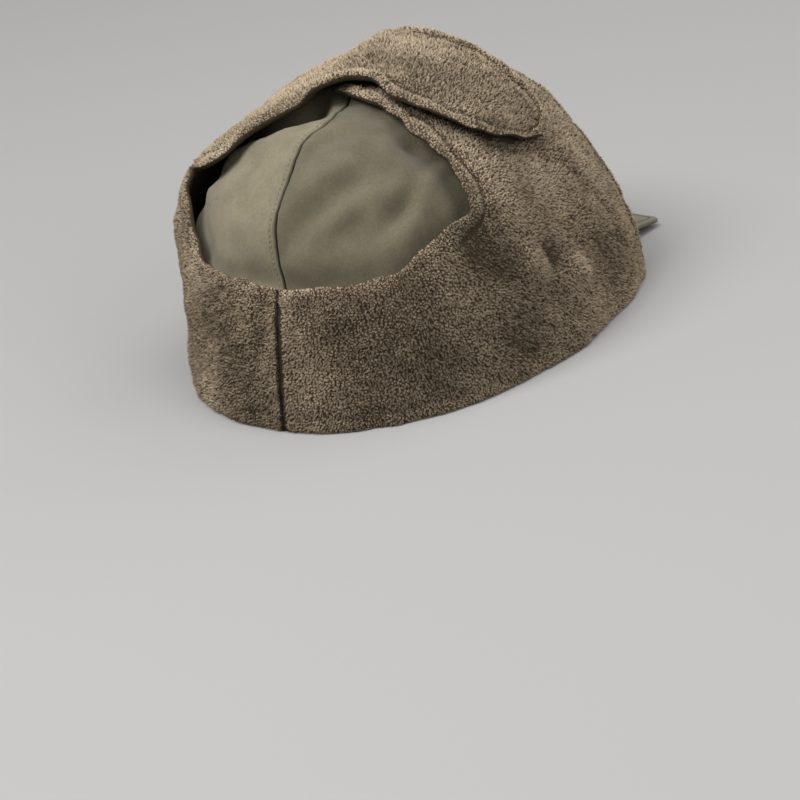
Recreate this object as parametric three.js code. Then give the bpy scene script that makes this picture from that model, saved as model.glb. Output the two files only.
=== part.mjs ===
import * as THREE from "three";

// Winter field cap, with its pile flaps turned up and lapped over the crown.
// Millimetres, +Z up. The rim lies on z = 0, the peak points to -Y, the wearer's left is +X.
// The origin is on the rim's plane, at the middle of the cap's width and length.

// Crown: its outer face, measured from the middle of the rim
const crownHalfWidth = 76;
const crownBack = 101;
const crownFront = 95;
const crownHeight = 112;
const planCorner = 2.15; // 2 is an ellipse, more is squarer
const frontShoulder = 2.1; // the same for the profile at the front and the sides
const backShoulder = 3.0; // and at the back
const rimFlare = 0.1; // how much wider the rim is than the top
const crownWall = 2;
const seamGap = 0.3; // between the halves of the crown, and of the nape band

// Flaps
const pileThickness = 5.6;
const layGap = 0.4; // between a flap and what it lies on
const edgeRound = 3.2; // a rolled edge's width
const rolledEdge = 0.3; // share of the thickness left at a rolled edge
const rimEdge = 0.7; // the same at the rim, which the cap rests on
const seamEdge = 0.72; // and in the groove of the centre-back seam
const lapStart = 24; // the left tongue climbs the right one's end between these two, across the cap
const lapEnd = 6;
const bandTop = 0.55; // above the nape band, as a direction's upward share

// Where the opening's two corners stand off the crown, a row for each.
// around: degrees from the back towards a side. rise: degrees above the rim, seen from its middle.
const standOffs = [
  { side: -1, around: 52, rise: 43, lift: 7, spread: 0.045 },
  { side: 1, around: 55, rise: 40, lift: 12, spread: 0.032 },
];

// Soft hollows in the flaps' outer faces, a row for each
const pileDents = [
  { side: -1, around: 20, rise: 16, depth: 1.4, spread: 0.02 },
  { side: -1, around: 62, rise: 20, depth: 1.8, spread: 0.03 },
  { side: -1, around: 84, rise: 38, depth: 1.6, spread: 0.02 },
  { side: -1, around: 104, rise: 15, depth: 1.6, spread: 0.02 },
  { side: 1, around: 24, rise: 17, depth: 1.4, spread: 0.02 },
  { side: 1, around: 70, rise: 23, depth: 1.8, spread: 0.03 },
];

// Folds pressed into the crown's cloth, in plan, a row for each
const crownFolds = [
  { fromX: -6, fromY: 86, toX: -46, toY: 66, depth: 1.6, width: 7 },
  { fromX: -30, fromY: 84, toX: -56, toY: 62, depth: 1.3, width: 5 },
  { fromX: -20, fromY: 40, toX: -44, toY: 40, depth: 1.4, width: 7 },
  { fromX: 10, fromY: 80, toX: 44, toY: 58, depth: 1.5, width: 8 },
];
const foldStart = 40; // height at which the folds reach their full depth

// Where the crown's cloth swells out into the opening, or sinks, a row for each
const crownSwells = [
  { side: 1, around: 44.5, rise: 40.5, lift: 5.6, spread: 0.014 },
  { side: 1, around: 27, rise: 69, lift: -3.5, spread: 0.006 },
  { side: -1, around: 45, rise: 57.5, lift: -1.8, spread: 0.004 },
];

// A flap's two long edges from the centre-back seam to the end of the tongue, a row for each station
const rightStations = [
  { lowAround: 0, lowRise: 0, highAround: 0, highRise: 30 },
  { lowAround: 16, lowRise: 0, highAround: 13, highRise: 30.6 },
  { lowAround: 32, lowRise: 0, highAround: 26, highRise: 32 },
  { lowAround: 48, lowRise: 0, highAround: 36, highRise: 36 },
  { lowAround: 66, lowRise: 0, highAround: 44.5, highRise: 39.3 },
  { lowAround: 86, lowRise: 0, highAround: 50.4, highRise: 42.2 },
  { lowAround: 108, lowRise: 0, highAround: 51, highRise: 47 },
  { lowAround: 129, lowRise: 0, highAround: 49.5, highRise: 51.5 },
  { lowAround: 132, lowRise: 15, highAround: 47, highRise: 55 },
  { lowAround: 134, lowRise: 31, highAround: 43, highRise: 59.5 },
  { lowAround: 137, lowRise: 46, highAround: 37, highRise: 64 },
  { lowAround: 143, lowRise: 59, highAround: 28, highRise: 69 },
  { lowAround: 155, lowRise: 71, highAround: 12, highRise: 73 },
  { lowAround: 176, lowRise: 77, highAround: 0, highRise: 74.5 },
  { lowAround: 193, lowRise: 78, highAround: -9, highRise: 75 },
];
const leftStations = [
  { lowAround: 0, lowRise: 0, highAround: 0, highRise: 30 },
  { lowAround: 16, lowRise: 0, highAround: 11, highRise: 31.2 },
  { lowAround: 32, lowRise: 0, highAround: 21.5, highRise: 32 },
  { lowAround: 48, lowRise: 0, highAround: 29, highRise: 34.8 },
  { lowAround: 66, lowRise: 0, highAround: 39, highRise: 39.8 },
  { lowAround: 86, lowRise: 0, highAround: 49, highRise: 42.6 },
  { lowAround: 108, lowRise: 0, highAround: 55.5, highRise: 44.5 },
  { lowAround: 129, lowRise: 0, highAround: 45, highRise: 48 },
  { lowAround: 132, lowRise: 15, highAround: 39, highRise: 52 },
  { lowAround: 134, lowRise: 31, highAround: 36.5, highRise: 57 },
  { lowAround: 137, lowRise: 46, highAround: 31.5, highRise: 62.2 },
  { lowAround: 143, lowRise: 59, highAround: 23, highRise: 67.5 },
  { lowAround: 157, lowRise: 71, highAround: 12, highRise: 71.5 },
  { lowAround: 182, lowRise: 77, highAround: -8, highRise: 74 },
  { lowAround: 210, lowRise: 75.8, highAround: -24, highRise: 72.8 },
  { lowAround: 228, lowRise: 70.7, highAround: -38, highRise: 66.8 },
  { lowAround: 238, lowRise: 64.5, highAround: -52, highRise: 61 },
  { lowAround: 243.5, lowRise: 58.5, highAround: -65.5, highRise: 56 },
  { lowAround: 247, lowRise: 54.5, highAround: -80, highRise: 53.2 },
  { lowAround: 252, lowRise: 51, highAround: -98, highRise: 50.8 },
];

// Peak, in plan
const peakHalfWidth = 62.5;
const peakFrontY = -124; // at its middle
const peakCornerY = -103.5; // where its front edge would meet its sides
const peakCornerRadius = 4;
const peakThickness = 2.4;
const peakRootHeight = 7;
const peakRootRise = 4; // the same as an angle above the rim
const peakDrop = 3.5; // from its root to its edge
const peakArch = 1.5; // from its middle to its corners
const peakSeat = 0.35; // clearance to the crown that it is sewn to

// Mesh steps
const crownSteps = { around: 26, rise: 13 };
const flapSteps = { perStation: 3, more: 14, across: 8 };
const peakSteps = { across: 18, out: 4 };

const degree = Math.PI / 180;
const mix = (a, b, t) => a + (b - a) * t;
const clamp01 = (t) => Math.min(1, Math.max(0, t));
const ease = (t) => clamp01(t) ** 2 * (3 - 2 * clamp01(t));

// Distance from the middle of the rim to the crown's outer face, along a unit direction
function crownReach(direction) {
  const length = direction.y > 0 ? crownBack : crownFront;
  const across = Math.abs(direction.x / crownHalfWidth) ** planCorner;
  const along = Math.abs(direction.y / length) ** planCorner;
  const shoulder = mix(frontShoulder, backShoulder, ease((direction.y + 0.3) / 1.2));
  const plan = (across + along) ** (shoulder / planCorner);
  return (plan + (direction.z / crownHeight) ** shoulder) ** (-1 / shoulder);
}

// The point at a lift above the crown's outer face
function onCap(direction, lift) {
  const point = direction.clone().multiplyScalar(crownReach(direction) + lift);
  const widen = 1 + rimFlare * (1 - point.z / crownHeight);
  return new THREE.Vector3(point.x * widen, point.y * widen, point.z);
}

// The direction at an angle from the back towards one side, and an angle above the rim
function towards(side, around, rise) {
  const plan = Math.cos(rise * degree);
  const x = side * Math.sin(around * degree) * plan;
  return new THREE.Vector3(x, Math.cos(around * degree) * plan, Math.sin(rise * degree));
}

// How much a row's bump raises the surface in a direction: full at its middle, fading over its spread
function bump(direction, row) {
  const middle = towards(row.side, row.around, row.rise);
  return Math.exp(-(1 - direction.dot(middle)) / row.spread);
}

const standOff = (direction) =>
  standOffs.reduce((sum, row) => sum + row.lift * bump(direction, row), 0);
const swellLift = (direction) =>
  crownSwells.reduce((sum, row) => sum + row.lift * bump(direction, row), 0);
const dentDepth = (direction) =>
  pileDents.reduce((sum, row) => sum + row.depth * bump(direction, row), 0);

function foldDepth(point) {
  let depth = 0;
  for (const fold of crownFolds) {
    const run = new THREE.Vector2(fold.toX - fold.fromX, fold.toY - fold.fromY);
    const away = new THREE.Vector2(point.x - fold.fromX, point.y - fold.fromY);
    const share = clamp01(away.dot(run) / run.lengthSq());
    const distance = away.sub(run.clone().multiplyScalar(share)).length();
    const fade = Math.sin(Math.PI * mix(0.12, 0.88, share));
    depth += fold.depth * fade * Math.exp(-((distance / fold.width) ** 2));
  }
  return depth;
}

// A closed shell between two grids of points, the first one outside
function shell(outer, inner) {
  const places = [];
  const keys = new Map();
  const index = [];
  const vertex = (point) => {
    const key = [point.x, point.y, point.z].map((v) => Math.round(v * 1000)).join();
    if (!keys.has(key)) {
      keys.set(key, keys.size);
      places.push(point.x, point.y, point.z);
    }
    return keys.get(key);
  };
  const triangle = (a, b, c) => {
    const corners = [vertex(a), vertex(b), vertex(c)];
    if (new Set(corners).size === 3) index.push(...corners);
  };
  const quad = (a, b, c, d) => {
    triangle(a, b, c);
    triangle(a, c, d);
  };
  const rows = outer.length - 1;
  const columns = outer[0].length - 1;
  for (let i = 0; i < rows; i++) {
    for (let j = 0; j < columns; j++) {
      quad(outer[i][j], outer[i + 1][j], outer[i + 1][j + 1], outer[i][j + 1]);
      quad(inner[i][j], inner[i][j + 1], inner[i + 1][j + 1], inner[i + 1][j]);
    }
    quad(outer[i][0], inner[i][0], inner[i + 1][0], outer[i + 1][0]);
    quad(outer[i][columns], outer[i + 1][columns], inner[i + 1][columns], inner[i][columns]);
  }
  for (let j = 0; j < columns; j++) {
    quad(outer[0][j], outer[0][j + 1], inner[0][j + 1], inner[0][j]);
    quad(outer[rows][j], inner[rows][j], inner[rows][j + 1], outer[rows][j + 1]);
  }
  const geometry = new THREE.BufferGeometry();
  geometry.setAttribute("position", new THREE.Float32BufferAttribute(places, 3));
  geometry.setIndex(index);
  return facingOut(geometry);
}

function facingOut(geometry) {
  const place = geometry.getAttribute("position");
  const index = geometry.getIndex();
  const [a, b, c] = [new THREE.Vector3(), new THREE.Vector3(), new THREE.Vector3()];
  let volume = 0;
  for (let i = 0; i < index.count; i += 3) {
    a.fromBufferAttribute(place, index.getX(i));
    b.fromBufferAttribute(place, index.getX(i + 1));
    c.fromBufferAttribute(place, index.getX(i + 2));
    volume += a.dot(b.cross(c)) / 6;
  }
  if (volume < 0) {
    for (let i = 0; i < index.count; i += 3) {
      const first = index.getX(i);
      index.setX(i, index.getX(i + 1));
      index.setX(i + 1, first);
    }
  }
  geometry.computeVertexNormals();
  return geometry;
}

// Keeps a point on its own side of the centre seam
const besideSeam = (point, side) =>
  side * point.x < seamGap / 2 ? point.setX((side * seamGap) / 2) : point;

function crownHalf(side) {
  const faces = [[], []];
  for (let i = 0; i <= crownSteps.around; i++) {
    for (const [face, rows] of faces.entries()) {
      const row = [];
      for (let j = 0; j <= crownSteps.rise; j++) {
        const around = (180 * i) / crownSteps.around;
        const direction = towards(side, around, (90 * j) / crownSteps.rise);
        const point = onCap(direction, 0);
        const fold = foldDepth(point) * ease(point.z / foldStart);
        const lift = swellLift(direction) - fold - face * crownWall;
        row.push(besideSeam(onCap(direction, lift), side));
      }
      rows.push(row);
    }
  }
  return shell(...faces);
}

// A smooth run through the stations' directions, which stays on the rim where both ends are on it
function edgeRun(side, stations, prefix) {
  const points = stations.map((row) => {
    return onCap(towards(side, row[prefix + "Around"], row[prefix + "Rise"]), 0);
  });
  const curve = new THREE.CatmullRomCurve3(points, false, "centripetal");
  return (share) => {
    const point = curve.getPoint(share);
    const station = Math.min(stations.length - 2, Math.floor(share * (stations.length - 1)));
    const onRim = stations.slice(station, station + 2).every((row) => row[prefix + "Rise"] === 0);
    if (onRim || point.z < 0) point.z = 0;
    const widen = 1 + rimFlare * (1 - point.z / crownHeight);
    return new THREE.Vector3(point.x / widen, point.y / widen, point.z).normalize();
  };
}

// How far a flap's inner face lies above the crown: the left one climbs over the right one's tongue
function flapLift(side, direction) {
  const lift = layGap + standOff(direction);
  if (side < 0) return lift;
  const lap = ease((lapStart - onCap(direction, lift).x) / (lapStart - lapEnd));
  const onTop = ease((direction.z - bandTop) / 0.15);
  return lift + lap * onTop * (pileThickness + layGap);
}

// The share of the full thickness at a distance from an edge
const roundEdge = (distance, atEdge) =>
  mix(atEdge, 1, Math.sqrt(1 - (1 - clamp01(distance / edgeRound)) ** 2));

function flap(side, stations) {
  const lowEdge = edgeRun(side, stations, "low");
  const highEdge = edgeRun(side, stations, "high");
  const steps = (stations.length - 1) * flapSteps.perStation + flapSteps.more;
  const edgeDistances = [0, 0.8, 2, edgeRound + 0.6];
  const rows = [];
  for (let i = 0; i <= steps; i++) {
    const share = i / steps;
    const low = lowEdge(share);
    const high = highEdge(share);
    const width = onCap(low, 0).distanceTo(onCap(high, 0));
    const arc = low.angleTo(high);
    const edge = edgeDistances.map((distance) => Math.min(distance / width, 0.4));
    const inside = edge[edge.length - 1];
    const places = [...edge];
    for (let j = 1; j < flapSteps.across; j++)
      places.push(mix(inside, 1 - inside, j / flapSteps.across));
    places.push(...edge.map((place) => 1 - place).reverse());
    const directions = places.map((place) => {
      const near = low.clone().multiplyScalar(Math.sin((1 - place) * arc));
      return near.addScaledVector(high, Math.sin(place * arc)).normalize();
    });
    rows.push({ places, directions, width, onRim: low.z === 0 });
  }
  const middles = rows.map((row) => onCap(row.directions[row.directions.length >> 1], 0));
  const fromSeam = [0];
  for (let i = 1; i <= steps; i++) fromSeam.push(fromSeam[i - 1] + middles[i].distanceTo(middles[i - 1]));
  const faces = [[], []];
  rows.forEach((row, i) => {
    const toEnd = fromSeam[steps] - fromSeam[i];
    const shares = row.places.map((place) => {
      const lowDistance = place * row.width;
      const highDistance = (1 - place) * row.width;
      return Math.min(
        roundEdge(lowDistance, row.onRim ? rimEdge : rolledEdge),
        roundEdge(highDistance, rolledEdge),
        roundEdge(toEnd, rolledEdge),
        roundEdge(fromSeam[i], seamEdge),
      );
    });
    for (const [face, grid] of faces.entries()) {
      grid.push(
        row.directions.map((direction, j) => {
          const inward = face === 1 ? -1 : 1;
          const middle = flapLift(side, direction) + pileThickness / 2;
          const half = (pileThickness / 2) * shares[j];
          const dent = face === 0 ? dentDepth(direction) * shares[j] : 0;
          return besideSeamAtNape(onCap(direction, middle + inward * half - dent), side, fromSeam[i]);
        }),
      );
    }
  });
  return shell(...faces);
}

// Only the nape band's end is held to its side of the seam, because the tongues cross it
const besideSeamAtNape = (point, side, distance) =>
  distance < edgeRound ? besideSeam(point, side) : point;

// Where the crown's front is at the peak's root, at a distance from the middle
function rootY(x) {
  let [low, high] = [90, 180];
  for (let step = 0; step < 30; step++) {
    const middle = (low + high) / 2;
    if (onCap(towards(1, middle, peakRootRise), 0).x > Math.abs(x)) low = middle;
    else high = middle;
  }
  return onCap(towards(1, low, peakRootRise), 0).y;
}

// The peak's front edge: bowed between two flatter, round corners
function peakEdgeY(x) {
  const bow = mix(peakCornerY, peakFrontY, (1 - (x / peakHalfWidth) ** 2) ** 2);
  const intoCorner = clamp01((Math.abs(x) - peakHalfWidth) / peakCornerRadius + 1);
  return bow + peakCornerRadius * (1 - Math.sqrt(1 - intoCorner ** 2));
}

function peak() {
  const faces = [[], []];
  for (let i = 0; i <= peakSteps.across; i++) {
    const across = Math.sin(mix(-90, 90, i / peakSteps.across) * degree);
    const x = across * peakHalfWidth;
    const root = rootY(x) - peakSeat;
    for (const [face, rows] of faces.entries()) {
      const row = [];
      for (let j = 0; j <= peakSteps.out; j++) {
        const out = j / peakSteps.out;
        const edge = j === peakSteps.out || i === 0 || i === peakSteps.across ? 0.5 : 1;
        const level = peakRootHeight - peakDrop * out - peakArch * across ** 2;
        const half = (peakThickness / 2) * edge;
        row.push(new THREE.Vector3(x, mix(root, peakEdgeY(x), out), level + (face ? -half : half)));
      }
      rows.push(row);
    }
  }
  return shell(...faces);
}

const olive = { color: 0x78745f, roughness: 0.85, metalness: 0 };
const pile = { color: 0x6a5f50, roughness: 1, metalness: 0 };

function piece(name, geometry, finish) {
  const mesh = new THREE.Mesh(geometry, new THREE.MeshStandardMaterial(finish));
  mesh.name = name;
  return mesh;
}

const cap = new THREE.Group();
cap.add(
  piece("crown_left", crownHalf(1), olive),
  piece("crown_right", crownHalf(-1), olive),
  piece("ear_flap_right", flap(-1, rightStations), pile),
  piece("ear_flap_left", flap(1, leftStations), pile),
  piece("peak", peak(), olive),
);

const middle = new THREE.Box3().setFromObject(cap).getCenter(new THREE.Vector3());
cap.position.set(-middle.x, -middle.y, 0);

export default cap;
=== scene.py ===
import math
import bmesh
import bpy
import numpy as np
from mathutils import Matrix, Vector
from mathutils.kdtree import KDTree


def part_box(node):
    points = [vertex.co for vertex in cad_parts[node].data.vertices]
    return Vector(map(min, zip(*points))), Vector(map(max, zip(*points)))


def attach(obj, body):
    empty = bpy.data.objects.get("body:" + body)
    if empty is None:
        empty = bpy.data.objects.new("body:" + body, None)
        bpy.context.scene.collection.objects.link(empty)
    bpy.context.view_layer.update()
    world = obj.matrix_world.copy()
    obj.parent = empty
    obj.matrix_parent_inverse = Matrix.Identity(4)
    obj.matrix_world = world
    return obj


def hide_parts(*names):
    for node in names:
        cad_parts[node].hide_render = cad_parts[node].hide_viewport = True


# Winter field cap: cloth crown, lapped pile flaps and a short peak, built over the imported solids.
# Sizes are millimetres unless a note says otherwise. +Z is up, the peak points to -Y and the
# wearer's left is +X. A place on the cap is given as degrees around from the back and degrees of
# rise above the rim, seen from the rim's middle.

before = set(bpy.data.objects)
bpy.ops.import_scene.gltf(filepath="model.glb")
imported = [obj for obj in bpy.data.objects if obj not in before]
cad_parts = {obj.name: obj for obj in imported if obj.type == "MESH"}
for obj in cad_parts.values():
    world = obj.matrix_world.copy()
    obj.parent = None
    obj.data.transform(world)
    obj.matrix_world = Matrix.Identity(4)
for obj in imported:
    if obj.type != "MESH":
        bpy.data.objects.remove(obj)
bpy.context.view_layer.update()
millimetre = 0.001


def mix(a, b, t):
    return a + (b - a) * t


def clamp01(t):
    return np.clip(t, 0, 1)


def ease(t):
    t = clamp01(t)
    return t * t * (3 - 2 * t)


def bell(distance, width):
    return np.exp(-((distance / width) ** 2))


def unit(v):
    return v / np.linalg.norm(v, axis=-1, keepdims=True)


# Sums of a few waves in random directions: soft unevenness of about the given size
def softWaves(points, size, seed, waves=16):
    rng = np.random.default_rng(seed)
    heading = unit(rng.normal(size=(waves, 3)))
    pace = 2 * math.pi / (size * rng.uniform(0.7, 1.7, waves))
    phase = rng.uniform(0, 2 * math.pi, waves)
    total = np.zeros(points.shape[:-1])
    for k in range(waves):
        total += np.sin(points @ heading[k] * pace[k] + phase[k])
    return total / math.sqrt(waves / 2)


# Rows of values under the same names
def table(names, *rows):
    return [dict(zip(names.split(), row)) for row in rows]


# Unevenness made of several such sums, a row for each
def uneven(points, rows):
    return sum(row["height"] * softWaves(points, row["size"], row["seed"]) for row in rows)


crown = {
    "halfWidth": 76,
    "back": 101,
    "front": 95,
    "height": 112,
    "planCorner": 2.15,  # 2 is an ellipse, more is squarer
    "frontShoulder": 2.1,
    "backShoulder": 3.0,
    "shoulderFrom": -0.3,  # where the front's shoulder starts to turn into the back's
    "shoulderOver": 1.2,
    "rimFlare": 0.1,
    "wall": 2,
    "seamGap": 0.3,
    "around": 124,  # columns and rows of the mesh
    "rise": 80,
    "crowding": 0.13,  # how much the columns crowd towards the seam
    "clothRadius": 88,  # turns angles around the crown into the cloth's own millimetres
    "foldStart": 40,
    "foldShare": 0.6,
    "foldEnds": 0.12,
    "creaseRadius": 110,
    "creaseEnds": 0.25,
    "stepSlope": 1.65,
    "waveFade": 30,
    "seamDip": 1.9,
    "seamDipWidth": 0.6,
    "seamShadeWidth": 0.5,
    "lapStep": 0.45,
    "lapWidth": 3.4,
    "lapSlope": 1.2,
    "edgeSink": 2.6,
    "edgeSinkWidth": 7,
    "openingRadius": 115,
    "puckerEvery": 9,
    "puckerDepth": 0.22,
    "puckerDrift": 13,
    "puckerFromSeam": 2.0,
    "puckerSpread": 20,
    "wanderWidth": 16,
    "wanderSmoothing": 9,
}

# Unevenness of the crown's cloth: the first row fades out towards the rim
crownWaves = table("height size seed", (0.35, 34, 5), (0.15, 11, 6), (0.05, 5, 7))

# Folds in the crown's cloth, in plan: start, end, depth and width
crownFolds = table(
    "start end depth width",
    ((-6, 86), (-46, 66), 1.6, 7),
    ((-30, 84), (-56, 62), 1.3, 5),
    ((-20, 40), (-44, 40), 1.4, 7),
    ((10, 80), (44, 58), 1.5, 8),
    ((-30, 50), (-42, 58), -1.1, 4),
    ((-8, 66), (-20, 60), 1.0, 5),
    ((12, 44), (34, 43), 1.2, 5),
)

# Soft creases between two places on the crown, each (degrees around from the back, degrees above
# the rim), with the wearer's right negative. step tips the cloth over, ridge lifts it.
crownCreases = table(
    "start end step ridge width",
    ((1, 38), (-24, 55), 2.9, 0.2, 4.8),
    ((-13, 40), (-31, 48), 1.8, -0.6, 4.2),
    ((-24, 41), (-39, 50.5), 2.0, 0.3, 3.4),
    ((-33, 42), (-43, 53), -1.6, 0.8, 3.0),
    ((-38, 62), (-50, 55), 0.0, -3.0, 4.5),
    ((-44, 59), (-49, 52), 0.0, 2.0, 3.4),
    ((-1, 53), (-10, 64), 1.2, -0.5, 3.4),
    ((-10, 55), (-24, 60), 0.8, 0.3, 3.6),
    ((-12, 63), (-32, 64), 0.5, 0.0, 2.4),
    ((17, 54), (3, 60), 0.8, 0.0, 4.0),
    ((24, 41), (6, 36), 0.7, 0.2, 4.4),
    ((30, 52), (14, 62), 0.5, 0.3, 4.0),
    ((5, 47), (14, 42), 0.5, 0.0, 3.0),
    ((58, 53.5), (26, 68), 0.0, -5.0, 4.4),
    ((18, 68), (34, 75), 0.0, -5.5, 3.8),
    ((52, 48), (8, 66), 0.0, 1.8, 3.6),
    ((0, 34), (0, 64), 0.0, 1.8, 17.0),
    ((13, 31.5), (-6, 31), 0.0, -2.6, 4.4),
)

# Where the crown's cloth swells or sinks
crownSwells = table(
    "side around rise lift spread",
    (1, 44.5, 40.5, 5.6, 0.014),
    (1, 27, 69, -3.5, 0.006),
    (-1, 45, 57.5, -1.8, 0.004),
)

# How far the centre seam wanders sideways, by its angle above the rim at the back
seamWander = table(
    "rise shift",
    (0, 0.0),
    (28, -2.0),
    (36, 0.8),
    (48, 1.4),
    (60, 2.0),
    (66, -2.2),
    (72, -1.4),
    (78, 1.0),
    (90, 0.0),
)


def crownReach(d):
    length = np.where(d[..., 1] > 0, crown["back"], crown["front"])
    across = np.abs(d[..., 0] / crown["halfWidth"]) ** crown["planCorner"]
    along = np.abs(d[..., 1] / length) ** crown["planCorner"]
    turn = ease((d[..., 1] - crown["shoulderFrom"]) / crown["shoulderOver"])
    shoulder = mix(crown["frontShoulder"], crown["backShoulder"], turn)
    plan = (across + along) ** (shoulder / crown["planCorner"])
    top = np.maximum(d[..., 2], 0) / crown["height"]
    return (plan + top**shoulder) ** (-1 / shoulder)


def flare(height):
    return (1 + crown["rimFlare"] * (1 - height / crown["height"]))[..., None]


# The point at a lift above the crown's outer face, with the rim flared
def onCap(d, lift=0.0):
    point = d * (crownReach(d) + lift)[..., None]
    point[..., :2] *= flare(point[..., 2])
    return point


# The direction in which onCap finds a point
def wayTo(point):
    straight = point.copy()
    straight[..., :2] /= flare(point[..., 2])
    return unit(straight)


def towards(side, around, rise):
    around = np.radians(around)
    rise = np.radians(rise)
    x = side * np.sin(around) * np.cos(rise)
    return np.stack([x, np.cos(around) * np.cos(rise), np.sin(rise)], -1)


def bumps(d, rows, size):
    total = np.zeros(d.shape[:-1])
    for row in rows:
        middle = towards(row["side"], row["around"], row["rise"])
        total += row[size] * np.exp(-(1 - d @ middle) / row["spread"])
    return total


def foldDepth(point):
    depth = np.zeros(point.shape[:-1])
    for fold in crownFolds:
        start = np.array(fold["start"], float)
        run = np.array(fold["end"], float) - start
        away = point[..., :2] - start
        share = clamp01(away @ run / (run @ run))
        distance = np.linalg.norm(away - share[..., None] * run, axis=-1)
        fade = np.sin(np.pi * mix(crown["foldEnds"], 1 - crown["foldEnds"], share))
        depth += fold["depth"] * fade * bell(distance, fold["width"])
    return depth * ease(point[..., 2] / crown["foldStart"])


# Creases run along great circles, and are measured in millimetres across them
def creaseLift(d, creases):
    lift = np.zeros(d.shape[:-1])
    ends = crown["creaseEnds"]
    for crease in creases:
        start = towards(1, *crease["start"])
        end = towards(1, *crease["end"])
        across = unit(np.cross(start, end))
        along = unit(end - start * (start @ end))
        length = math.acos(start @ end)
        share = np.arctan2(d @ along, d @ start) / length
        distance = (d @ across) * crown["creaseRadius"] / crease["width"]
        fade = ease((share + ends) / (2 * ends)) * ease((1 + ends - share) / (2 * ends))
        hump = np.exp(-(distance**2) / 2)
        lift += fade * hump * (crease["step"] * crown["stepSlope"] * distance + crease["ridge"])
    return lift


pile = {
    "thickness": 5.6,
    "tuftStand": 1.5,  # the backing lies this much lower, for the tufts' length
    "layGap": 0.4,
    "underGap": 0.1,
    "leastThickness": 1.6,
    "edgeRound": 3.0,
    "rolledEdge": 0.3,  # shares of the thickness left at an edge
    "rimEdge": 0.7,
    "seamEdge": 0.15,
    "seamRound": 0.8,
    "seamShadeWidth": 1.8,
    "lapStart": 18,
    "lapEnd": 4,
    "bandTop": 0.55,
    "bandTopOver": 0.15,
    # The mesh: evenly spaced rows, and closer ones near the seam, the end and the edges
    "alongStep": 2.0,
    "evenFrom": 5,
    "evenTo": 8.5,
    "seamSteps": (0, 0.25, 0.5, 0.8, 1.2, 1.7, 2.3, 3.0, 3.9),
    "endSteps": (0, 0.3, 0.8, 1.4, 2.0, 2.7, 3.4, 4.1, 4.8, 5.4, 6.0, 6.6, 7.3),
    "edgeSteps": (0, 0.3, 0.8, 1.4, 2.0, 2.8, 3.6, 4.3, 4.8, 5.2, 5.6, 6.0, 6.5, 7.2, 8.2),
    "edgeShare": 0.45,
    "acrossSteps": 34,
    # The stitched groove along the free edges, and how it is lost along the nape band's top
    "cornerSoft": 3.5,
    "farOff": 60.0,
    "grooveFromEdge": 5.6,
    "grooveAmount": 0.85,
    "grooveDepth": 2.5,
    "grooveWidth": 0.95,
    "napeFrom": 92,
    "napeOver": 16,
    "napeShare": 0.15,
    # The part of the left flap that laps over, with its second line
    "tongueStart": 22,
    "tongueOver": 26,
    "tongueTop": 0.6,
    "tongueTopOver": 0.2,
    "secondFromEdge": 11,
    "secondDepth": 1.3,
    "secondWidth": 1.3,
    "secondEnd": 8,
    "secondEndOver": 12,
    "rimGroove": 0.35,
    "rimGrooveFromEdge": 5.5,
    "rimGrooveWidth": 1.6,
    "roll": 0.5,
    "rollFromEdge": 2.6,
    "rollWidth": 1.9,
    "sink": 0.75,
    "sinkPastGroove": 2,
    "sinkWidth": 3.2,
    # How the tongue's edge stands up, and where the edges are wavy
    "stand": 2.4,
    "standWidth": 13,
    "standEnd": 18,
    "rippleWidth": 4,
    "rippleFromSeam": 12,
    # How the nape band's seam leans
    "leanBelow": 1.0,
    "leanAbove": 3.0,
    "leanHeight": 60,
    "leanWidth": 24,
    "leanBehind": 40,
    "leanTop": 72,
    "leanTopOver": 10,
}

pileWaves = table("height size seed", (0.42, 30, 31), (0.26, 11, 32), (0.16, 5, 33))

# Unevenness of single values, such as the groove's distance from the edge
pileDrifts = table(
    "of height size seed",
    ("groovePlace", 0.5, 16, 21),
    ("grooveAmount", 0.2, 22, 22),
    ("secondPlace", 0.8, 22, 23),
    ("stand", 0.45, 24, 61),
    ("ripple", 0.9, 13, 62),
    ("tone", 0.1, 40, 51),
)


def drift(points, name):
    return uneven(points, [row for row in pileDrifts if row["of"] == name])


# Folds in the pile, in the same terms as the crown's creases
pileCreases = table(
    "start end step ridge width",
    ((-47, 35), (-61, 28), 0.0, -4.2, 6.0),
    ((-74, 31), (-77, 24), 0.0, -3.6, 3.4),
    ((-82, 24), (-87, 17), 0.0, 2.6, 4.6),
    ((-62, 33), (-70, 24), 0.0, 1.4, 4.6),
    ((-110, 33), (-115, 21), 0.0, -1.6, 2.2),
    ((-103, 46), (-107, 33), 0.0, -1.1, 3.0),
    ((-112, 19), (-116, 12), 0.0, -4.0, 1.8),
    ((-64, 55), (-96, 50), 0.0, -2.6, 4.6),
    ((-53, 12), (-64, 5), 0.0, -1.6, 3.4),
    ((3.4, 29), (4.4, 17), 0.0, -1.5, 2.0),
    ((7, 28), (8, 18), 0.0, 0.9, 3.0),
    ((20, 24), (17, 8), 0.0, -1.0, 6.0),
    ((-29, 20), (-41, 17), 0.0, 1.4, 8.0),
)

# Where the opening's corners stand off the crown
standOffs = table(
    "side around rise lift spread",
    (-1, 52, 43, 7, 0.045),
    (1, 55, 40, 12, 0.032),
)

# Soft hollows in the pile
pileDents = table(
    "side around rise depth spread",
    (-1, 20, 16, 1.4, 0.02),
    (-1, 62, 20, 1.8, 0.03),
    (-1, 84, 38, 1.6, 0.02),
    (-1, 104, 15, 1.6, 0.02),
    (1, 24, 17, 1.4, 0.02),
    (1, 70, 23, 1.8, 0.03),
)

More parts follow.
